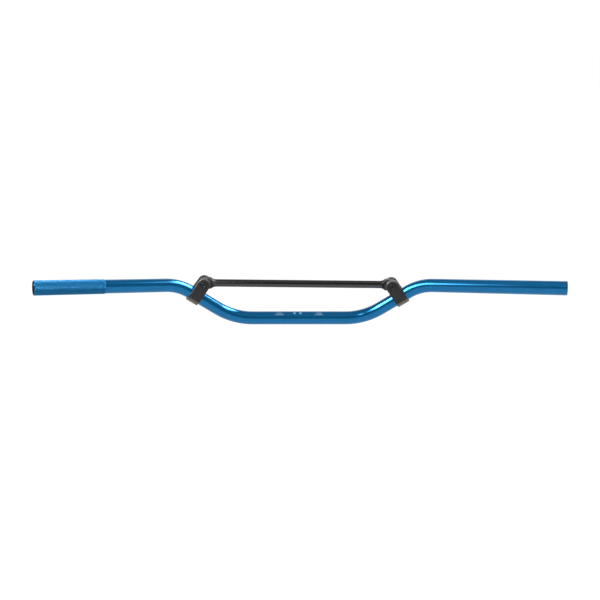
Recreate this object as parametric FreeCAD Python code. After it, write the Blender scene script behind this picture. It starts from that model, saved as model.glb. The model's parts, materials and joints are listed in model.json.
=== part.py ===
import FreeCAD, Part
import math
import os
from collections import namedtuple

from FreeCAD import Placement, Rotation, Vector

# Motocross handlebar: one bent tube with a bolted crossbar.
# Millimetres and degrees. +X points to the right hand, +Z up, and the rider sits at -Y.
# The origin is on the tube's axis, in the middle of the straight centre section.

# Tube
overall_width = 812.0
tube_diameter = 22.2
tube_wall = 4.1
centre_half_length = 78.0
lower_bend_radius = 102.0
riser_angle = 34.4
riser_length = 54.0
upper_bend_radius = 73.5
grip_sweep_angle = 23.8
grip_rise_angle = 9.4
knurl_length = 108.0
knurl_height = 0.2
tube_end_chamfer = 0.6

# Clamps that carry the crossbar
clamp_station = 41.0
clamp_slide = 2.8
clamp_width = 20.6
clamp_ring_wall = 3.0
clamp_bore_clearance = 0.02
bolt_offset = 27.0
ear_tip_thickness = 5.5
ear_seat_thickness = 3.9
clamp_edge_chamfer = 0.8

# Crossbar
crossbar_diameter = 12.5
eye_height = 18.4
eye_thickness = 6.8
eye_flat_length = 10.7
flare_length = 8.8

# Clamp bolts, with washers and lock nuts
bolt_diameter = 6.0
bolt_hole_clearance = 0.3
bolt_head_diameter = 10.5
bolt_head_height = 3.3
bolt_head_rim = 2.7
bolt_head_flat = 9.0
bolt_tip_length = 2.4
socket_width = 4.0
socket_depth = 2.1
seat_clearance = 0.35
washer_diameter = 12.0
washer_thickness = 1.6
washer_hole_clearance = 0.2
nut_width = 10.0
nut_hex_height = 4.2
nut_collar_diameter = 8.8
nut_collar_height = 1.8
thread_clearance = 0.03

X_AXIS = Vector(1, 0, 0)
Y_AXIS = Vector(0, 1, 0)
Z_AXIS = Vector(0, 0, 1)
ORIGIN = Vector(0, 0, 0)
FULL_TURN = 360
HEXAGON_SIDES = 6
SAME_PLANE = 1e-4
SMOOTH_ANGLE = 1.0

tube_radius = tube_diameter / 2
bore_radius = tube_radius - tube_wall
knurl_radius = tube_radius + knurl_height
ear_gap = eye_thickness
bolt_hole_radius = bolt_diameter / 2 + bolt_hole_clearance
seat_plane = ear_gap / 2 + ear_seat_thickness
bolt_shank_length = 2 * seat_plane + washer_thickness + nut_hex_height + nut_collar_height + bolt_tip_length

Straight = namedtuple("Straight", "start heading length")
Bend = namedtuple("Bend", "start heading centre axis angle")


def direction(azimuth, rise):
    """A unit vector that starts as +X, turns towards -Y by azimuth and then up by rise."""
    across, up = math.radians(azimuth), math.radians(rise)
    return Vector(math.cos(across) * math.cos(up), -math.sin(across) * math.cos(up), math.sin(up))


def bend_between(start, heading, new_heading, radius):
    """The bend that turns heading into new_heading, and the point where it ends."""
    axis = heading.cross(new_heading).normalize()
    angle = math.degrees(heading.getAngle(new_heading))
    centre = start + axis.cross(heading) * radius
    end = centre + Rotation(axis, angle).multVec(start - centre)
    return Bend(start, heading, centre, axis, angle), end


def right_half_route():
    """The tube's axis from the middle of the bar to its right end."""
    riser = direction(0, riser_angle)
    grip = direction(grip_sweep_angle, grip_rise_angle)
    centre = Straight(ORIGIN, X_AXIS, centre_half_length)
    lower_bend, riser_start = bend_between(X_AXIS * centre_half_length, X_AXIS, riser, lower_bend_radius)
    riser_straight = Straight(riser_start, riser, riser_length)
    riser_end = riser_start + riser * riser_length
    upper_bend, grip_start = bend_between(riser_end, riser, grip, upper_bend_radius)
    grip_length = (overall_width / 2 - grip_start.x) / grip.x
    return [centre, lower_bend, riser_straight, upper_bend, Straight(grip_start, grip, grip_length)]


route = right_half_route()
riser_straight = route[2]
grip_straight = route[4]
bar_end = grip_straight.start + grip_straight.heading * grip_straight.length


def mirrored(vector):
    """The same point or direction on the left side."""
    return Vector(-vector.x, vector.y, vector.z)


def half_rod(radius):
    """A solid rod of this radius along the right half of the route."""
    pieces = []
    for step in route:
        disc = Part.Face(Part.Wire(Part.makeCircle(radius, step.start, step.heading)))
        if isinstance(step, Bend):
            pieces.append(disc.revolve(step.centre, step.axis, step.angle))
        else:
            pieces.append(disc.extrude(step.heading * step.length))
    return pieces[0].fuse(pieces[1:])


def bent_rod(radius):
    """A solid rod of this radius along the whole route."""
    right = half_rod(radius)
    return right.fuse(right.mirror(ORIGIN, X_AXIS)).removeSplitter()


def end_edges(solid, point, heading):
    """The edges of a solid that lie in the plane of a tube end."""
    def in_plane(edge):
        middle = edge.valueAt((edge.FirstParameter + edge.LastParameter) / 2)
        return abs((middle - point).dot(heading)) < SAME_PLANE
    near = [edge for edge in solid.Edges if edge.CenterOfMass.distanceToPoint(point) < tube_diameter]
    return [edge for edge in near if in_plane(edge)]


def handlebar_tube():
    """The bent tube, with the raised band of the knurl on its left end."""
    left_end, left_heading = mirrored(bar_end), mirrored(grip_straight.heading)
    knurl = Part.makeCylinder(knurl_radius, knurl_length, left_end, left_heading * -1)
    tube = bent_rod(tube_radius).fuse(knurl).cut(bent_rod(bore_radius)).removeSplitter()
    edges = end_edges(tube, left_end, left_heading)
    edges += end_edges(tube, bar_end, grip_straight.heading)
    return tube.makeChamfer(tube_end_chamfer, edges)


def extruded(points_and_arcs, vector):
    """A prism of a closed outline. The outline's items are edges in order."""
    return Part.Face(Part.Wire(points_and_arcs)).extrude(vector)


def line(start, end):
    return Part.makeLine(start, end)


def arc(start, middle, end):
    return Part.Arc(start, middle, end).toShape()


def clamp_blank():
    """The clamp before it is bored, seen along the riser: a round foot whose sides taper to the ear tips.

    Its own frame has X along the riser, Z from the tube's axis to the bolt, and the origin on the tube's axis.
    """
    foot_radius = tube_radius + clamp_ring_wall
    tip = Vector(0, ear_gap / 2 + ear_tip_thickness, bolt_offset + clamp_width / 2)
    lean = math.asin(foot_radius / tip.Length) - math.atan2(tip.y, tip.z)
    touch = Vector(0, foot_radius * math.cos(lean), foot_radius * math.sin(lean))
    other_touch, other_tip = Vector(0, -touch.y, touch.z), Vector(0, -tip.y, tip.z)
    side_view = [
        arc(touch, Vector(0, 0, -foot_radius), other_touch),
        line(other_touch, other_tip),
        line(other_tip, tip),
        line(tip, touch),
    ]
    half = clamp_width / 2
    low, shoulder, top = -foot_radius, bolt_offset, bolt_offset + half
    front_view = [
        line(Vector(half, 0, low), Vector(half, 0, shoulder)),
        arc(Vector(half, 0, shoulder), Vector(0, 0, top), Vector(-half, 0, shoulder)),
        line(Vector(-half, 0, shoulder), Vector(-half, 0, low)),
        line(Vector(-half, 0, low), Vector(half, 0, low)),
    ]
    ears = extruded(side_view, X_AXIS * clamp_width).translated(X_AXIS * -half)
    outline = extruded(front_view, Y_AXIS * 2 * foot_radius).translated(Y_AXIS * -foot_radius)
    blank = ears.common(outline).removeSplitter()
    return blank.makeChamfer(clamp_edge_chamfer, rim_edges(blank))


def rim_edges(blank):
    """The edges between the clamp's two side faces and its other faces: all but those where faces run on smoothly."""
    return [edge for edge in blank.Edges if not is_smooth(blank, edge)]


def is_smooth(solid, edge):
    """Whether the two faces beside an edge share their normal there."""
    faces = solid.ancestorsOfType(edge, Part.Face)
    middle = edge.valueAt((edge.FirstParameter + edge.LastParameter) / 2)
    normals = [face.normalAt(*face.Surface.parameter(middle)) for face in faces]
    return len(normals) == 2 and normals[0].getAngle(normals[1]) < math.radians(SMOOTH_ANGLE)


def clamp():
    """A forged clamp: bored for the tube, slit between its ears and drilled for its bolt."""
    bore = Part.makeCylinder(
        tube_radius + clamp_bore_clearance, 2 * clamp_width, X_AXIS * -clamp_width, X_AXIS
    )
    reach = bolt_offset + clamp_width
    slit = Part.makeBox(2 * clamp_width, ear_gap, reach, Vector(-clamp_width, -ear_gap / 2, 0))
    depth = tube_radius + clamp_ring_wall
    bolt_centre = Z_AXIS * bolt_offset
    hole = Part.makeCylinder(bolt_hole_radius, 2 * depth, bolt_centre - Y_AXIS * depth, Y_AXIS)
    head_recess = Part.makeCylinder(
        bolt_head_diameter / 2 + seat_clearance, depth, bolt_centre - Y_AXIS * seat_plane, Y_AXIS * -1
    )
    nut_recess = Part.makeCylinder(
        washer_diameter / 2 + seat_clearance, depth, bolt_centre + Y_AXIS * seat_plane, Y_AXIS
    )
    return clamp_blank().cut([bore, slit, hole, head_recess, nut_recess])


def level_arc(start, end, along, across):
    """An arc from start to end, level with the direction along where it ends."""
    run, rise = (end - start).dot(along), (end - start).dot(across)
    radius = (run * run + rise * rise) / (2 * abs(rise))
    half_turn = math.asin(abs(run) / radius) / 2
    back = along * math.copysign(radius * math.sin(half_turn), run)
    drop = across * math.copysign(radius * (1 - math.cos(half_turn)), rise)
    return arc(start, end - back - drop, end)


def s_curve(start, end, along, across):
    """Two equal arcs from start to end, both level with the direction along at their outer ends."""
    middle = (start + end) * 0.5
    return [level_arc(middle, start, along, across), level_arc(middle, end, along, across)]


def crossbar_end(rod_length):
    """One end of the crossbar: round rod forged to a flat eye.

    Its own frame has the bolt's centre at the origin, X along the rod and Y through the eye.
    The rod flares inside a turned envelope, and the die faces flatten it.
    """
    rod_radius = crossbar_diameter / 2
    half_height, half_thickness = eye_height / 2, eye_thickness / 2
    flat_end = eye_flat_length
    flare_end = eye_flat_length + flare_length
    full_radius = math.hypot(half_height, half_thickness)
    tip = -full_radius
    shoulder, neck = Vector(flat_end, 0, full_radius), Vector(flare_end, 0, rod_radius)
    envelope = Part.Face(Part.Wire([
        line(Vector(tip, 0, 0), Vector(tip, 0, full_radius)),
        line(Vector(tip, 0, full_radius), shoulder),
        level_arc(shoulder, neck, X_AXIS, Z_AXIS),
        line(neck, Vector(rod_length, 0, rod_radius)),
        line(Vector(rod_length, 0, rod_radius), Vector(rod_length, 0, 0)),
        line(Vector(rod_length, 0, 0), Vector(tip, 0, 0)),
    ])).revolve(ORIGIN, X_AXIS, FULL_TURN)

    def die_edge(side):
        """One flattening face, seen from above, from the tip to the middle of the rod."""
        clear = crossbar_diameter * side
        near = Vector(flat_end, half_thickness * side, 0)
        far = Vector(flare_end, rod_radius * side, 0)
        return near, far, Vector(flare_end, clear, 0), Vector(rod_length, clear, 0)

    near, far, out, last = die_edge(1)
    near_2, far_2, out_2, last_2 = die_edge(-1)
    start, start_2 = Vector(tip, near.y, 0), Vector(tip, near_2.y, 0)
    upper = [line(start, near)] + s_curve(near, far, X_AXIS, Y_AXIS) + [line(far, out), line(out, last)]
    lower = [line(start_2, near_2)] + s_curve(near_2, far_2, X_AXIS, Y_AXIS)
    lower += [line(far_2, out_2), line(out_2, last_2)]
    plan = upper + [line(last, last_2)] + lower + [line(start_2, start)]
    dies = Part.Face(Part.Wire(Part.__sortEdges__(plan))).extrude(Z_AXIS * 2 * full_radius)
    dies = dies.translated(Z_AXIS * -full_radius)

    outline = Part.makeCylinder(half_height, 2 * crossbar_diameter, Y_AXIS * -crossbar_diameter, Y_AXIS)
    body = Part.makeBox(
        rod_length, 2 * crossbar_diameter, eye_height, Vector(0, -crossbar_diameter, -half_height)
    )
    hole = Part.makeCylinder(bolt_hole_radius, eye_height, Y_AXIS * -half_height, Y_AXIS)
    return envelope.common(dies).common(outline.fuse(body).removeSplitter()).cut(hole)


def crossbar(left_bolt, right_bolt):
    """The crossbar between two bolt centres."""
    span = right_bolt - left_bolt
    half = crossbar_end(span.Length / 2)
    left = half.translated(X_AXIS * (-span.Length / 2))
    bar = left.fuse(left.mirror(ORIGIN, X_AXIS)).removeSplitter()
    tilt = -math.degrees(math.atan2(span.z, span.x))
    bar.Placement = Placement((left_bolt + right_bolt) * 0.5, Rotation(Y_AXIS, tilt)) * bar.Placement
    return bar


def hexagon_corner(width):
    """How far a hexagon's corners lie from its centre, from its width over the flats."""
    return width / 2 / math.cos(math.pi / HEXAGON_SIDES)


def hexagon(width, base, height):
    """A hexagonal prism along Y, of this width over its flats."""
    corner = Vector(hexagon_corner(width), base, 0)
    turns = [Rotation(Y_AXIS, FULL_TURN * side / HEXAGON_SIDES) for side in range(HEXAGON_SIDES)]
    points = [turn.multVec(corner) for turn in turns]
    return Part.Face(Part.makePolygon(points + points[:1])).extrude(Y_AXIS * height)


def turned(points):
    """A solid turned about the Y axis from points given as (radius, place along the axis)."""
    outline = [Vector(radius, along, 0) for radius, along in points]
    return Part.Face(Part.makePolygon(outline + outline[:1])).revolve(ORIGIN, Y_AXIS, FULL_TURN)


def bolt():
    """A button-headed socket screw. Its seat is at the origin, and its shank runs towards +Y."""
    radius, head_radius = bolt_diameter / 2, bolt_head_diameter / 2
    tip = bolt_shank_length
    turned_body = turned([
        (0, -bolt_head_height), (bolt_head_flat / 2, -bolt_head_height), (head_radius, -bolt_head_rim),
        (head_radius, 0), (radius, 0), (radius, tip), (0, tip),
    ])
    return turned_body.cut(hexagon(socket_width, -bolt_head_height, socket_depth))


def washer():
    """A flat washer that starts at the origin."""
    hole = bolt_diameter / 2 + washer_hole_clearance
    edge = washer_diameter / 2
    return turned([(hole, 0), (edge, 0), (edge, washer_thickness), (hole, washer_thickness)])


def lock_nut():
    """A hexagon nut in one with its round collar, which holds a nylon ring."""
    collar = Part.makeCylinder(nut_collar_diameter / 2, nut_hex_height + nut_collar_height, ORIGIN, Y_AXIS)
    thread = Part.makeCylinder(
        bolt_diameter / 2 + thread_clearance, nut_hex_height + nut_collar_height, ORIGIN, Y_AXIS
    )
    return hexagon(nut_width, 0, nut_hex_height).fuse(collar).removeSplitter().cut(thread)


def clamp_placement(side):
    """Where a clamp sits on its riser: side is -1 on the left and 1 on the right."""
    station = clamp_station - side * clamp_slide
    foot = riser_straight.start + riser_straight.heading * station
    if side < 0:
        foot = mirrored(foot)
    return Placement(foot, Rotation(Y_AXIS, -side * riser_angle))


def placed(shape, placement):
    """A copy of the shape, moved by the placement."""
    moved = shape.copy()
    moved.Placement = placement * moved.Placement
    return moved


def handlebar():
    """Every piece by its name."""
    places = {"left": clamp_placement(-1), "right": clamp_placement(1)}
    bolt_centres = {side: place.multVec(Z_AXIS * bolt_offset) for side, place in places.items()}
    nodes = {
        "handlebar_tube": handlebar_tube(),
        "crossbar": crossbar(bolt_centres["left"], bolt_centres["right"]),
    }
    for side, place in places.items():
        centre = Placement(bolt_centres[side], place.Rotation)
        head_seat = centre * Placement(Y_AXIS * -seat_plane, Rotation())
        washer_seat = centre * Placement(Y_AXIS * seat_plane, Rotation())
        nut_seat = centre * Placement(Y_AXIS * (seat_plane + washer_thickness), Rotation())
        nodes[side + "_clamp"] = placed(clamp(), place)
        nodes[side + "_clamp_bolt"] = placed(bolt(), head_seat)
        nodes[side + "_clamp_washer"] = placed(washer(), washer_seat)
        nodes[side + "_lock_nut"] = placed(lock_nut(), nut_seat)
    return nodes


os.makedirs("parts", exist_ok=True)
for name, shape in handlebar().items():
    shape.exportStep("parts/" + name + ".step")
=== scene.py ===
import json
import math

import bmesh
import bpy
from mathutils import Matrix, Vector

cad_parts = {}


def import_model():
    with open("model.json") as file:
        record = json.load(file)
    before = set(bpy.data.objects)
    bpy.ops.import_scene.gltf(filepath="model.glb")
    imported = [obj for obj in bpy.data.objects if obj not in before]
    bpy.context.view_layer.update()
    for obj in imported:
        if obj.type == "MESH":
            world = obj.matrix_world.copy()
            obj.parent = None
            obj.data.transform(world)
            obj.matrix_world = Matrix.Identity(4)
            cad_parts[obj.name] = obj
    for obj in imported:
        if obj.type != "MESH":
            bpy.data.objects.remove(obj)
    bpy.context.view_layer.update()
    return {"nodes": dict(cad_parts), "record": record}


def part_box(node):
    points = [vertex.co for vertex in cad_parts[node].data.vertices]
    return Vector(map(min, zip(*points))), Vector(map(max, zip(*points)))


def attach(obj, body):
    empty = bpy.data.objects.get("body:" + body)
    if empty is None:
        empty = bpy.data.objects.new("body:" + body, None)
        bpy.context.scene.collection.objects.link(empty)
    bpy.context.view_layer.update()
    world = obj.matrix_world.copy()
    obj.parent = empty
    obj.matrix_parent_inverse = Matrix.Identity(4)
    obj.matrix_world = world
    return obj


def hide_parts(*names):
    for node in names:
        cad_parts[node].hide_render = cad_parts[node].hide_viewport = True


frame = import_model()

# Motocross handlebar, in metres. X runs along the bar, Z is up and the grips sweep back towards -Y,
# which is also the camera's side.
nodes = frame["nodes"]

MM = 0.001
SIDES = (("left", -1), ("right", 1))
SHARP_ANGLE = math.radians(32)
TURNED_SEGMENTS = 96

# The tube's sizes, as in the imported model.
CENTRE_HALF = 78 * MM
LOWER_BEND = 102 * MM
RISER_LENGTH = 54 * MM
RISER_ANGLE = math.radians(34.4)
UPPER_BEND = 73.5 * MM
GRIP_SWEEP = math.radians(23.8)
GRIP_RISE = math.radians(9.4)
HALF_WIDTH = 406 * MM
TUBE_RADIUS = 11.1 * MM
BORE_RADIUS = 7 * MM
BAND_RADIUS = 11.3 * MM
BAND_LENGTH = 108 * MM
END_CHAMFER = 0.6 * MM
BEND_STEPS = 28
TUBE_SEGMENTS = 112


# Meshes

def piece(name, vertices, faces, material):
    """A mesh piece on the part's one body."""
    mesh = bpy.data.meshes.new(name)
    mesh.from_pydata(vertices, [], faces)
    made = bmesh.new()
    made.from_mesh(mesh)
    bmesh.ops.recalc_face_normals(made, faces=made.faces)
    for face in made.faces:
        face.smooth = True
    for edge in made.edges:
        edge.smooth = edge.calc_face_angle(0) < SHARP_ANGLE
    made.to_mesh(mesh)
    made.free()
    mesh.materials.append(material)
    new = bpy.data.objects.new(name, mesh)
    bpy.context.scene.collection.objects.link(new)
    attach(new, "root")
    return new


def turned(rings):
    """Vertices and faces of rings about Y.

    A ring is (radius, place). The radius may be a function of the angle, and 0 makes a single point.
    """
    vertices, faces, rows = [], [], []
    for radius, along in rings:
        if radius == 0:
            rows.append([len(vertices)] * TURNED_SEGMENTS)
            vertices.append(Vector((0, along, 0)))
            continue
        rows.append(range(len(vertices), len(vertices) + TURNED_SEGMENTS))
        for step in range(TURNED_SEGMENTS):
            angle = math.tau * step / TURNED_SEGMENTS
            out = radius(angle) if callable(radius) else radius
            vertices.append(Vector((out * math.cos(angle), along, out * math.sin(angle))))
    for low, high in zip(rows, rows[1:]):
        for step in range(TURNED_SEGMENTS):
            following = (step + 1) % TURNED_SEGMENTS
            corners = [low[step], low[following], high[following], high[step]]
            face = list(dict.fromkeys(corners))
            if len(face) > 2:
                faces.append(face)
    return vertices, faces


def hexagonal(width):
    """The outline of a hexagon of this width over its flats, as a radius at an angle."""
    def radius(angle):
        off_flat = (angle % (math.pi / 3)) - math.pi / 6
        return width / 2 / math.cos(off_flat)
    return radius


def hexagonal_within(width, limit):
    """A hexagon whose corners are turned down to a circle."""
    flat = hexagonal(width)
    return lambda angle: min(flat(angle), limit)


def round_corner(inner, outer, low, high, steps, level_first):
    """Rings of a quarter round from (inner, low) to (outer, high)."""
    rings = []
    for step in range(steps + 1):
        angle = math.pi / 2 * step / steps
        out, up = math.sin(angle), 1 - math.cos(angle)
        if not level_first:
            out, up = 1 - math.cos(angle), math.sin(angle)
        rings.append((inner + (outer - inner) * out, low + (high - low) * up))
    return rings


def placed(vertices, centre, turn):
    """The vertices turned about Y and moved, in metres."""
    matrix = Matrix.Translation(centre) @ Matrix.Rotation(turn, 4, "Y")
    return [matrix @ (vertex * MM) for vertex in vertices]


# Materials

# A Mix node's two inputs and its output for each kind of data. The kinds share their names, so the
# sockets go by number.
MIX_SOCKETS = {"FLOAT": (2, 3, 0), "RGBA": (6, 7, 2)}
GRAIN_DEPTH = 0.1 * MM


class Nodes:
    """A node tree, with short ways to add nodes and to feed their sockets."""

    def __init__(self, tree):
        self.tree = tree

    def add(self, kind, **values):
        """A new shader node, with its settings and its inputs' constants by name."""
        node = self.tree.nodes.new("ShaderNode" + kind)
        for key, value in values.items():
            if hasattr(node, key):
                setattr(node, key, value)
            else:
                node.inputs[key].default_value = value
        return node

    def feed(self, source, socket):
        """Link another node's output to a socket, or set the socket to a number or a colour."""
        if isinstance(source, bpy.types.NodeSocket):
            self.tree.links.new(source, socket)
        elif isinstance(source, tuple):
            socket.default_value = (*source, 1)
        else:
            socket.default_value = source

    def noise(self, scale, detail=2.0):
        """Noise over the part's own coordinates, with its scale in cells per metre."""
        place = self.add("TexCoord")
        texture = self.add("TexNoise", Scale=scale, Detail=detail)
        self.feed(place.outputs["Object"], texture.inputs["Vector"])
        return texture.outputs["Fac"]

    def ramp(self, factor, low, high, start=0.35, end=0.65, shape="LINEAR"):
        """The factor spread from low to high between start and end."""
        node = self.add("MapRange", interpolation_type=shape)
        ends = (("From Min", start), ("From Max", end), ("To Min", low), ("To Max", high))
        for name, value in ends:
            node.inputs[name].default_value = value
        self.feed(factor, node.inputs["Value"])
        return node.outputs["Result"]

    def joined(self, operation, first, second):
        """Two values joined by an operation."""
        node = self.add("Math", operation=operation)
        self.feed(first, node.inputs[0])
        self.feed(second, node.inputs[1])
        return node.outputs[0]

    def mixed(self, factor, first, second, kind="RGBA"):
        """Two colours, or two values, mixed by a factor."""
        node = self.add("Mix", data_type=kind)
        low, high, out = MIX_SOCKETS[kind]
        self.feed(first, node.inputs[low])
        self.feed(second, node.inputs[high])
        self.feed(factor, node.inputs["Factor"])
        return node.outputs[out]

    def patchy(self, first, second):
        """Two close colours in soft patches."""
        return self.mixed(self.ramp(self.noise(60), 0, 1), first, second)

    def speckled(self, fine, first, second):
        """Two colours mixed by a fine noise."""
        return self.mixed(self.ramp(fine, 0, 1), first, second)

    def share_along(self, vector, direction):
        """How far a vector goes along a direction."""
        node = self.add("VectorMath", operation="DOT_PRODUCT")
        node.inputs[1].default_value = direction
        self.feed(vector, node.inputs[0])
        return node.outputs["Value"]

    def bump(self, base, height, strength):
        """A fine grain on the shader's normal."""
        node = self.add("Bump", Strength=strength, Distance=GRAIN_DEPTH)
        self.feed(height, node.inputs["Height"])
        self.feed(node.outputs["Normal"], base.inputs["Normal"])


def shader(name):
    """A new material, its nodes and its shader."""
    material = bpy.data.materials.new(name)
    material.use_nodes = True
    return material, Nodes(material.node_tree), material.node_tree.nodes["Principled BSDF"]


def finish_of(name, light, dark, metallic, rough, grain, bump, coat=0.0, level=0.5):
    """A metal finish: two close colours in soft patches, roughness that varies, and a fine grain."""
    material, tree, base = shader(name)
    fine = tree.noise(grain, 3)
    tree.feed(tree.patchy(dark, light), base.inputs["Base Color"])
    tree.feed(tree.ramp(fine, *rough), base.inputs["Roughness"])
    tree.bump(base, fine, bump)
    base.inputs["Metallic"].default_value = metallic
    base.inputs["Specular IOR Level"].default_value = level
    base.inputs["Coat Weight"].default_value = coat
    base.inputs["Coat Roughness"].default_value = 0.06
    return material


tube_blue = finish_of(
    "tube_blue_anodised", light=(0.002, 0.178, 0.435), dark=(0.001, 0.165, 0.41),
    metallic=0.6, rough=(0.09, 0.13), grain=2600, bump=0.004, coat=0.25, level=0.25,
)
# A far darker blue without gloss for the bore and the end faces: painted shade inside the tube.
bore_painted_shade_blue = finish_of(
    "tube_blue_painted_shade_inside", light=(0.012, 0.052, 0.105), dark=(0.009, 0.042, 0.088),
    metallic=0.0, rough=(0.6, 0.8), grain=2600, bump=0.1, level=0.0,
)
bolt_black = finish_of(
    "bolt_black_oxide", light=(0.024, 0.024, 0.0245), dark=(0.018, 0.018, 0.0185),
    metallic=0.1, rough=(0.26, 0.38), grain=2400, bump=0.08, level=0.3,
)
zinc = finish_of(
    "zinc_plate", light=(0.62, 0.62, 0.64), dark=(0.5, 0.51, 0.54),
    metallic=1.0, rough=(0.28, 0.4), grain=2400, bump=0.1,
)


def crossbar_finish():
    """Glossy black along the rod, with duller forged ends."""
    material, tree, base = shader("crossbar_black_anodised")
    black, worn_black = (0.0011, 0.0011, 0.0011), (0.0018, 0.0018, 0.0016)
    rod_end, forged_from, forged_roughness = 134 * MM, 142 * MM, 0.5
    fine = tree.noise(3200, 3)
    tree.feed(tree.patchy(black, worn_black), base.inputs["Base Color"])
    place, parts = tree.add("TexCoord"), tree.add("SeparateXYZ")
    tree.feed(place.outputs["Object"], parts.inputs[0])
    off_middle = tree.joined("ABSOLUTE", parts.outputs["X"], 0)
    forged = tree.ramp(off_middle, 0, forged_roughness, rod_end, forged_from)
    tree.feed(tree.joined("ADD", tree.ramp(fine, 0.12, 0.18), forged), base.inputs["Roughness"])
    tree.bump(base, fine, 0.03)
    base.inputs["Specular IOR Level"].default_value = 0.9
    return material


def knurl_finish():
    """The tube's blue on the teeth, and darker between them: painted shade in the hollows."""
    material, tree, base = shader("knurl_blue_anodised")
    # The darker valley blue is painted shade, mixed in by the height of each tooth.
    painted_shade_valley_blue, crest_blue = (0.001, 0.117, 0.283), (0.002, 0.192, 0.44)
    height = tree.add("Attribute", attribute_name="crest")
    fine = tree.noise(2600, 3)
    tree.feed(tree.mixed(height.outputs["Fac"], painted_shade_valley_blue, crest_blue), base.inputs["Base Color"])
    tree.feed(tree.ramp(fine, 0.42, 0.55), base.inputs["Roughness"])
    tree.bump(base, fine, 0.08)
    base.inputs["Metallic"].default_value = 0.5
    base.inputs["Specular IOR Level"].default_value = 0.15
    base.inputs["Coat Weight"].default_value = 0.25
    base.inputs["Coat Roughness"].default_value = 0.3
    return material


def nylon_finish():
    """Undyed nylon, a little translucent."""
    material, tree, base = shader("nylon_natural")
    fine = tree.noise(900, 2)
    tree.feed(tree.speckled(fine, (0.72, 0.71, 0.64), (0.8, 0.79, 0.73)), base.inputs["Base Color"])
    tree.feed(tree.ramp(fine, 0.4, 0.5), base.inputs["Roughness"])
    base.inputs["Subsurface Weight"].default_value = 0.2
    base.inputs["Subsurface Scale"].default_value = 1 * MM
    return material


def ink_finish(name, worn, full):
    """Thin pale ink through which the blue shows."""
    material, tree, base = shader(name)
    fine = tree.noise(3000, 3)
    tree.feed(tree.speckled(fine, worn, full), base.inputs["Base Color"])
    tree.feed(tree.ramp(fine, 0.35, 0.5), base.inputs["Roughness"])
    return material


def clamp_finish(side, sign):
    """Blasted dark grey, with painted light: the foot under the tube is paler as a painted reflection
    of the floor, and surfaces that face up, such as the rims round the ears, are paler as a painted
    highlight.
    """
    material, tree, base = shader(side + "_clamp_blasted_grey_painted_light")
    # Heights above the clamp's lowest point over which the foot's painted floor reflection fades out.
    painted_reflection_full, painted_reflection_end = 10.6 * MM, 11.6 * MM
    fine = tree.noise(2800, 3)
    body = tree.patchy((0.011, 0.0108, 0.0106), (0.015, 0.0147, 0.0143))
    # A pale grey for painted light: a painted floor reflection on the foot and painted highlights where
    # the surface faces up.
    painted_light_grey = tree.speckled(fine, (0.135, 0.128, 0.119), (0.175, 0.166, 0.155))
    upwards = Vector((-sign * math.sin(RISER_ANGLE), 0, math.cos(RISER_ANGLE)))
    bottom = min(vertex.co.dot(upwards) for vertex in nodes[side + "_clamp"].data.vertices)
    place, surface = tree.add("TexCoord"), tree.add("NewGeometry")
    height = tree.share_along(place.outputs["Object"], upwards)
    # The foot is painted paler, a painted reflection of the white floor below.
    foot = tree.ramp(height, 1, 0, bottom + painted_reflection_full, bottom + painted_reflection_end)
    facing = tree.share_along(surface.outputs["Normal"], upwards)
    # Surfaces that face up are painted paler, a painted highlight from the light above.
    painted_top_highlight = tree.ramp(facing, 0, 0.9, 0.15, 0.55)
    colour = tree.mixed(tree.joined("MAXIMUM", foot, painted_top_highlight), body, painted_light_grey)
    tree.feed(colour, base.inputs["Base Color"])
    tree.feed(tree.ramp(fine, 0.36, 0.5), base.inputs["Roughness"])
    tree.bump(base, fine, 0.12)
    base.inputs["Specular IOR Level"].default_value = 0.4
    return material


def dress(name, material):
    """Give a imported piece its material."""
    mesh = nodes[name].data
    mesh.materials.clear()
    mesh.materials.append(material)


nylon = nylon_finish()
dress("crossbar", crossbar_finish())
for side, sign in SIDES:
    dress(side + "_clamp", clamp_finish(side, sign))
    dress(side + "_clamp_washer", zinc)


# Bolts and nuts. Their sizes are in mm, and each starts at its end towards -Y.

def clamp_bolt(side, turn):
    """A button head with a hexagon socket, a plain shank and a threaded end."""
    node = side + "_clamp_bolt"
    low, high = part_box(node)
    length = (high.y - low.y) / MM
    head_height, head_radius, rim_height, flat_radius, head_bevel = 3.3, 5.25, 2.7, 4.5, 0.15
    socket_width, socket_mouth, socket_depth, mouth_bevel, floor_bevel = 4.0, 4.4, 2.1, 0.25, 0.05
    shank, fillet, tip, tip_bevel = 3.0, 0.25, 2.1, 0.1
    minor, pitch, steepness, slices = 2.42, 1.0, 1.15, 10
    thread_start, thread_rest, thread_end = head_height + 15.0, 0.8, 2.3
    rings = [
        (0, socket_depth),
        (hexagonal(socket_width - 2 * floor_bevel), socket_depth),
        (hexagonal(socket_width), socket_depth - floor_bevel),
        (hexagonal(socket_width), mouth_bevel),
        (hexagonal(socket_mouth), 0),
    ]
    rings += round_corner(flat_radius, head_radius, 0, head_height - rim_height, 8, True)
    rings += [
        (head_radius, head_height - head_bevel),
        (head_radius - head_bevel, head_height),
        (shank + fillet, head_height),
        (shank, head_height + fillet),
        (shank, thread_start),
    ]

    def thread_at(along):
        def radius(angle):
            phase = (along / pitch - angle / math.tau) % 1
            groove = min(phase, 1 - phase) * 2
            return minor + (shank - minor) * min(1.0, groove * steepness)
        return radius

    for step in range(int((length - thread_rest - thread_start) / (pitch / slices)) + 1):
        along = thread_start + step * pitch / slices
        rings.append((thread_at(along), along))
    rings += [(thread_end, length - tip_bevel), (tip, length), (0, length)]
    vertices, faces = turned(rings)
    centre = Vector(((low.x + high.x) / 2, low.y, (low.z + high.z) / 2))
    made = piece(side + "_bolt_detailed", placed(vertices, centre, turn), faces, bolt_black)
    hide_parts(node)


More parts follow.
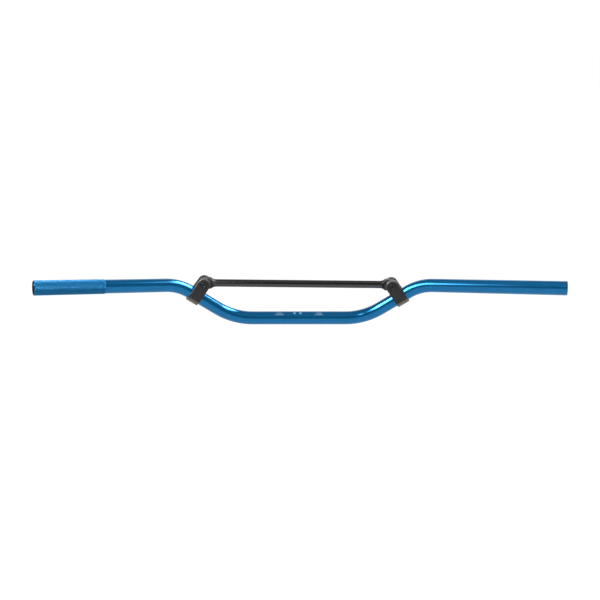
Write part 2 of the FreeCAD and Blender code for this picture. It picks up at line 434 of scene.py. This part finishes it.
def lock_nut(side, turn):
    """A hexagon nut with turned corners and a round collar, whose lip is rolled over a nylon ring."""
    node = side + "_lock_nut"
    low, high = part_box(node)
    height = (high.y - low.y) / MM
    width, hexagon_height, face_bevel = 10.0, 4.2, 0.2
    turned_down, cone_slope, cone_steps = 0.75, 0.58, 4
    collar, collar_round, collar_rest = 4.4, 0.6, 0.7
    mouth, pocket, lip, lip_bevel = 3.45, 4.05, 0.4, 0.15
    thread, entry, entry_depth = 3.03, 3.35, 0.3
    corner = width / 2 / math.cos(math.pi / 6)
    cone = []
    for step in range(cone_steps + 1):
        share = step / cone_steps
        limit = corner - turned_down * (1 - share)
        cone.append((hexagonal_within(width, limit), turned_down * cone_slope * share))
    rings = [(entry, 0), (width / 2 - face_bevel, 0)] + cone
    rings += [(outline, hexagon_height - along) for outline, along in cone[:0:-1]]
    rings += [
        (hexagonal_within(width, width / 2 - face_bevel / 2), hexagon_height),
        (collar, hexagon_height),
    ]
    rings += round_corner(collar, collar - collar_round, height - collar_rest, height, 6, False)
    rings += [
        (mouth + lip_bevel, height),
        (mouth, height - lip_bevel),
        (mouth, height - lip),
        (pocket, height - lip),
        (pocket, hexagon_height - entry_depth),
        (thread, hexagon_height - entry_depth),
        (thread, entry_depth),
        (entry, 0),
    ]
    vertices, faces = turned(rings)
    centre = Vector(((low.x + high.x) / 2, low.y, (low.z + high.z) / 2))
    made = piece(side + "_nut_detailed", placed(vertices, centre, turn), faces, zinc)
    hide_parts(node)
    ring_bore, ring_bevel, ring_outer = 3.05, 0.3, pocket + 0.1
    ring_low, ring_high = height - 1.5, height - 0.45
    ring = [
        (ring_bore, ring_low),
        (ring_outer, ring_low),
        (ring_outer, ring_high),
        (ring_bore + ring_bevel, ring_high),
        (ring_bore, ring_high - ring_bevel),
        (ring_bore, ring_low),
    ]
    vertices, faces = turned(ring)
    piece(side + "_nut_ring", placed(vertices, centre, turn), faces, nylon)


for side, sign in SIDES:
    clamp_bolt(side, -sign * RISER_ANGLE)
    lock_nut(side, -sign * RISER_ANGLE)
    for name, width in ((side + "_clamp", 0.3 * MM), (side + "_clamp_washer", 0.15 * MM)):
        bevel = nodes[name].modifiers.new("soft_edges", "BEVEL")
        bevel.width = width
        bevel.segments = 2
        bevel.limit_method = "ANGLE"
        bevel.angle_limit = SHARP_ANGLE


# Tube

def route():
    """Points and headings along the right half of the tube's axis, from the middle to the end."""
    riser = Vector((math.cos(RISER_ANGLE), 0, math.sin(RISER_ANGLE)))
    level = math.cos(GRIP_RISE)
    grip = Vector((math.cos(GRIP_SWEEP) * level, -math.sin(GRIP_SWEEP) * level, math.sin(GRIP_RISE)))
    point, heading = Vector((CENTRE_HALF, 0, 0)), Vector((1, 0, 0))
    stations = [(Vector(), heading), (point, heading)]
    for following, radius, straight in ((riser, LOWER_BEND, RISER_LENGTH), (grip, UPPER_BEND, None)):
        axis = heading.cross(following).normalized()
        centre = point + axis.cross(heading) * radius
        full = heading.angle(following)
        arm, start = point - centre, heading
        for step in range(1, BEND_STEPS + 1):
            turn = Matrix.Rotation(full * step / BEND_STEPS, 3, axis)
            point, heading = centre + turn @ arm, turn @ start
            stations.append((point, heading))
        if straight is None:
            straight = (HALF_WIDTH - point.x) / heading.x
        point = point + heading * straight
        stations.append((point, heading))
    return stations


def smooth_tube():
    """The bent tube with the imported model's sizes and enough faces for clean reflections."""
    half = route()
    left = [(Vector((-p.x, p.y, p.z)), Vector((h.x, -h.y, -h.z))) for p, h in half[:0:-1]]
    stations = left + half
    (first, first_heading), (last, last_heading) = stations[0], stations[-1]
    first_chamfer, last_chamfer = first + first_heading * END_CHAMFER, last - last_heading * END_CHAMFER
    band_end = first + first_heading * BAND_LENGTH
    outer = [
        (first, first_heading, BAND_RADIUS - END_CHAMFER),
        (first_chamfer, first_heading, BAND_RADIUS),
        (band_end, first_heading, BAND_RADIUS),
        (band_end, first_heading, TUBE_RADIUS),
    ]
    outer += [(point, heading, TUBE_RADIUS) for point, heading in stations[1:-1]]
    outer += [
        (last_chamfer, last_heading, TUBE_RADIUS),
        (last, last_heading, TUBE_RADIUS - END_CHAMFER),
    ]
    inner = [
        (last, last_heading, BORE_RADIUS + END_CHAMFER),
        (last_chamfer, last_heading, BORE_RADIUS),
    ]
    inner += [(point, heading, BORE_RADIUS) for point, heading in stations[-2:0:-1]]
    inner += [
        (first_chamfer, first_heading, BORE_RADIUS),
        (first, first_heading, BORE_RADIUS + END_CHAMFER),
    ]
    vertices, faces = [], []
    up = Vector((0, 0, 1))
    for point, heading, size in outer + inner:
        side = heading.cross(up).normalized()
        over = side.cross(heading)
        for step in range(TUBE_SEGMENTS):
            angle = math.tau * step / TUBE_SEGMENTS
            vertices.append(point + (side * math.cos(angle) + over * math.sin(angle)) * size)
    count = len(outer) + len(inner)
    for ring in range(count):
        low, high = ring * TUBE_SEGMENTS, (ring + 1) % count * TUBE_SEGMENTS
        for step in range(TUBE_SEGMENTS):
            beside = (step + 1) % TUBE_SEGMENTS
            faces.append([low + step, low + beside, high + beside, high + step])
    made = piece("tube_smooth", vertices, faces, tube_blue)
    # The bore and both end faces take the darker blue, a painted shade.
    made.data.materials.append(bore_painted_shade_blue)
    for face in made.data.polygons[(len(outer) - 1) * TUBE_SEGMENTS:]:
        face.material_index = 1
    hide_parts("handlebar_tube")


smooth_tube()


# Knurl

def knurl():
    """Diamond teeth over the raised band of the left end."""
    seat = next(mount for mount in frame["record"]["mounts"] if mount["name"] == "left_grip_seat")
    axis = Vector(seat["axis"]).normalized()
    middle = Vector(seat["pos_m"])
    length = seat["dims"]["length_mm"] * MM
    valley, crest, foot = 11.33 * MM, 11.62 * MM, 11.26 * MM
    around, rows, top_share, foot_rows = 48, 88, 0.34, 0.15
    start, end = 0.35 * MM, length - 0.15 * MM
    side = axis.cross(Vector((0, 0, 1))).normalized()
    up = side.cross(axis)
    outer_end = middle + axis * (length / 2)
    pitch = (end - start) / rows
    vertices, faces, heights = [], [], []

    def add(turns, row, radius, height):
        """A new vertex, so many teeth round and rows along, and its number."""
        angle = math.tau * turns / around
        out = side * math.cos(angle) + up * math.sin(angle)
        vertices.append(outer_end - axis * (start + row * pitch) + out * radius)
        heights.append(height)
        return len(vertices) - 1

    def across(row, k):
        """The corner between k and k + 1 on the rows beside this one."""
        return (k + row % 2) % around

    corner = [
        [add(k + (row % 2) / 2, row, valley, 0.0) for k in range(around)] for row in range(rows + 1)
    ]
    foot_low = [add(k, -foot_rows, foot, 0.0) for k in range(around)]
    foot_high = [add(k + (rows % 2) / 2, rows + foot_rows, foot, 0.0) for k in range(around)]
    for row in range(rows + 1):
        for k in range(around):
            following = (k + 1) % around
            left, right = corner[row][k], corner[row][following]
            if row == 0:
                faces.append([left, right, corner[1][across(0, k)]])
                faces.append([foot_low[k], foot_low[following], right, left])
                continue
            if row == rows:
                faces.append([right, left, corner[row - 1][across(row, k)]])
                faces.append([left, right, foot_high[following], foot_high[k]])
                continue
            centre = k + 0.5 + (row % 2) / 2
            tops = [
                add(centre - 0.5 * top_share, row, crest, 1.0),
                add(centre, row + top_share, crest, 1.0),
                add(centre + 0.5 * top_share, row, crest, 1.0),
                add(centre, row - top_share, crest, 1.0),
            ]
            feet = [left, corner[row + 1][across(row, k)], right, corner[row - 1][across(row, k)]]
            faces.append(tops)
            for step in range(4):
                beside = (step + 1) % 4
                faces.append([feet[step], feet[beside], tops[beside], tops[step]])
    made = piece("knurl", vertices, faces, knurl_finish())
    # Tooth heights, which darken the valleys as painted shade in the knurl's material.
    attribute = made.data.attributes.new("crest", "FLOAT", "POINT")
    attribute.data.foreach_set("value", heights)


knurl()


# Printed marks

def marks(name, bars, finish):
    """Plain printed bars on the centre section.

    A bar is its two ends in mm along X and its two angles in degrees up from the front.
    """
    vertices, faces = [], []
    outer, inner, steps = 11.13 * MM, 11.05 * MM, 8
    for low_x, high_x, low, high in bars:
        rows = []
        for step in range(steps + 1):
            angle = math.radians(low + (high - low) * step / steps)
            out = Vector((0, -math.cos(angle), math.sin(angle)))
            row = []
            for x, radius in ((low_x, inner), (low_x, outer), (high_x, outer), (high_x, inner)):
                row.append(len(vertices))
                vertices.append(Vector((x * MM, 0, 0)) + out * radius)
            rows.append(row)
        for first, second in zip(rows, rows[1:]):
            for step in range(3):
                faces.append([first[step], first[step + 1], second[step + 1], second[step]])
        faces.append(rows[0])
        faces.append(rows[-1][::-1])
    piece(name, vertices, faces, finish)


for side, sign in SIDES:
    bars = [(25.5, 40.5, 51, 57), (27, 39, 60, 66), (28.5, 37.5, 69, 80)]
    bars = [(*sorted((near * sign, far * sign)), low, high) for near, far, low, high in bars]
    name = side + "_marks"
    marks(name, bars, ink_finish(name + "_ink", (0.09, 0.25, 0.42), (0.13, 0.31, 0.5)))
marks(
    "centre_marks", [(-9.7, -5.7, 62, 83), (0.2, 4.2, 62, 83)],
    ink_finish("centre_marks_ink", (0.15, 0.36, 0.54), (0.2, 0.43, 0.62)),
)


# Floor, light and camera

def floor():
    """A white floor below the bar, which is held clear of it.

    To the camera it glows with a share of shaded paper, so that it is white and keeps the bar's shadow.
    Reflections see its glow alone, and it bounces light as plain paper.
    """
    half, level = 8.0, -0.32
    glow_share, seen_glow, mirrored_glow = 0.88, 1.1, 0.95
    corners = [(-half, -half, level), (half, -half, level), (half, half, level), (-half, half, level)]
    mesh = bpy.data.meshes.new("floor")
    mesh.from_pydata(corners, [], [(0, 1, 2, 3)])
    material = bpy.data.materials.new("floor_white")
    material.use_nodes = True
    material.node_tree.nodes.clear()
    tree = Nodes(material.node_tree)
    rays = tree.add("LightPath")
    seen = rays.outputs["Is Camera Ray"]
    share = tree.joined("MULTIPLY", seen, glow_share)
    for kind in ("Is Glossy Ray", "Is Transmission Ray"):
        share = tree.joined("MAXIMUM", share, rays.outputs[kind])
    paper, glow = tree.add("BsdfDiffuse", Color=(0.8, 0.8, 0.8, 1)), tree.add("Emission")
    both, output = tree.add("MixShader"), tree.add("OutputMaterial")
    tree.feed(tree.ramp(seen, mirrored_glow, seen_glow, 0, 1), glow.inputs["Strength"])
    tree.feed(share, both.inputs["Fac"])
    tree.feed(paper.outputs[0], both.inputs[1])
    tree.feed(glow.outputs[0], both.inputs[2])
    tree.feed(both.outputs[0], output.inputs["Surface"])
    mesh.materials.append(material)
    made = bpy.data.objects.new("floor", mesh)
    bpy.context.scene.collection.objects.link(made)


def world():
    """White for the camera, and a plain grey that lights the colours.

    Reflections see a pale wall behind and low in front, a grey ceiling, and a dark room between them.
    """
    made = bpy.data.worlds.new("studio")
    bpy.context.scene.world = made
    made.use_nodes = True
    made.node_tree.nodes.clear()
    tree = Nodes(made.node_tree)
    plain_grey = 0.5

    def spread(source, start, end, low, high):
        return tree.ramp(source, low, high, start, end, "SMOOTHSTEP")

    place, parts, rays = tree.add("TexCoord"), tree.add("SeparateXYZ"), tree.add("LightPath")
    tree.feed(place.outputs["Generated"], parts.inputs[0])
    height, depth = parts.outputs["Z"], parts.outputs["Y"]
    low_front = spread(height, 0.1, 0.32, 0.8, 0.18)
    behind = tree.joined("MULTIPLY", spread(depth, 0.68, 0.9, 0, 1), spread(height, 0.6, 0.85, 1, 0))
    overhead = spread(height, 0.75, 1.0, 0, 0.5)
    studio = tree.joined("MAXIMUM", tree.joined("MAXIMUM", low_front, behind), overhead)
    mirrored = tree.mixed(rays.outputs["Is Glossy Ray"], plain_grey, studio, "FLOAT")
    seen = tree.joined("MAXIMUM", rays.outputs["Is Camera Ray"], rays.outputs["Is Transmission Ray"])
    background, output = tree.add("Background", Color=(1, 1, 1, 1)), tree.add("OutputWorld")
    tree.feed(tree.mixed(seen, mirrored, 1, "FLOAT"), background.inputs["Strength"])
    tree.feed(background.outputs[0], output.inputs["Surface"])


def softbox(name, place, width, height, turn, radiance):
    """A rectangular lamp of an even radiance, aimed at the bar and turned about its own axis."""
    data = bpy.data.lights.new(name, "AREA")
    data.shape = "RECTANGLE"
    data.size, data.size_y = width, height
    data.energy = radiance * math.pi * width * height
    lamp = bpy.data.objects.new(name, data)
    lamp.location = place
    aim = (-Vector(place)).to_track_quat("-Z", "Y").to_matrix()
    lamp.rotation_euler = (aim @ Matrix.Rotation(math.radians(turn), 3, "Z")).to_euler()
    bpy.context.scene.collection.objects.link(lamp)
    return lamp


def shine(name, place, width, height, turn, radiance, fades):
    """A softbox that shows in gloss alone, so that colours keep their plain level.

    Its sides fade, each over its own share of the lamp: the low and high ends of its width, then those
    of its height.
    """
    lamp = softbox(name, place, width, height, turn, radiance)
    lamp.visible_diffuse = False
    lamp.data.use_nodes = True
    lamp.data.node_tree.nodes.clear()
    tree = Nodes(lamp.data.node_tree)
    spot, parts = tree.add("NewGeometry"), tree.add("SeparateXYZ")
    tree.feed(spot.outputs["Parametric"], parts.inputs[0])
    strength = 1
    for part, (low_fade, high_fade) in (("X", fades[:2]), ("Y", fades[2:])):
        for dark, full in ((0, low_fade), (1, 1 - high_fade)):
            edge = tree.ramp(parts.outputs[part], 0, 1, dark, full, "SMOOTHSTEP")
            strength = tree.joined("MULTIPLY", edge, strength)
    glow, output = tree.add("Emission"), tree.add("OutputLight")
    tree.feed(strength, glow.inputs["Strength"])
    tree.feed(glow.outputs[0], output.inputs["Surface"])


def camera():
    """The photograph's view: 26 degrees down, a little from the left."""
    picture_width, focal_length, right_shift = 600, 767.06, 14.08  # pixels
    sensor_width = 36
    turn = (
        Matrix.Rotation(math.radians(-1.214), 3, "Z")
        @ Matrix.Rotation(math.radians(90 - 26.083), 3, "X")
        @ Matrix.Rotation(math.radians(0.544), 3, "Z")
    )
    data = bpy.data.cameras.new("camera")
    data.sensor_fit = "HORIZONTAL"
    data.sensor_width = sensor_width
    data.lens = focal_length * sensor_width / picture_width
    data.shift_x = right_shift / picture_width
    made = bpy.data.objects.new("camera", data)
    made.matrix_world = turn.to_4x4()
    made.location = turn @ Vector((-0.02197, 0.02999, 1.2909))
    bpy.context.scene.collection.objects.link(made)
    bpy.context.scene.camera = made


floor()
world()
softbox("ceiling_softbox", (0.15, -0.5, 2.1), 2.4, 1.6, 0, 2.1).visible_glossy = False
shine("left_softbox", (-1.155, -0.621, 1.306), 1.46, 1.42, -5.4, 60.0, (0.03, 1.0, 0.39, 0.6))
shine("front_softbox", (-0.352, -1.109, 1.648), 0.28, 0.6, 10, 11.0, (0.5, 0.5, 0.4, 0.4))
shine("right_softbox", (1.145, 0.384, 1.809), 2.04, 1.14, -12.0, 52.0, (1.0, 0.03, 0.58, 0.72))
camera()
bpy.context.scene.view_settings.view_transform = "Standard"
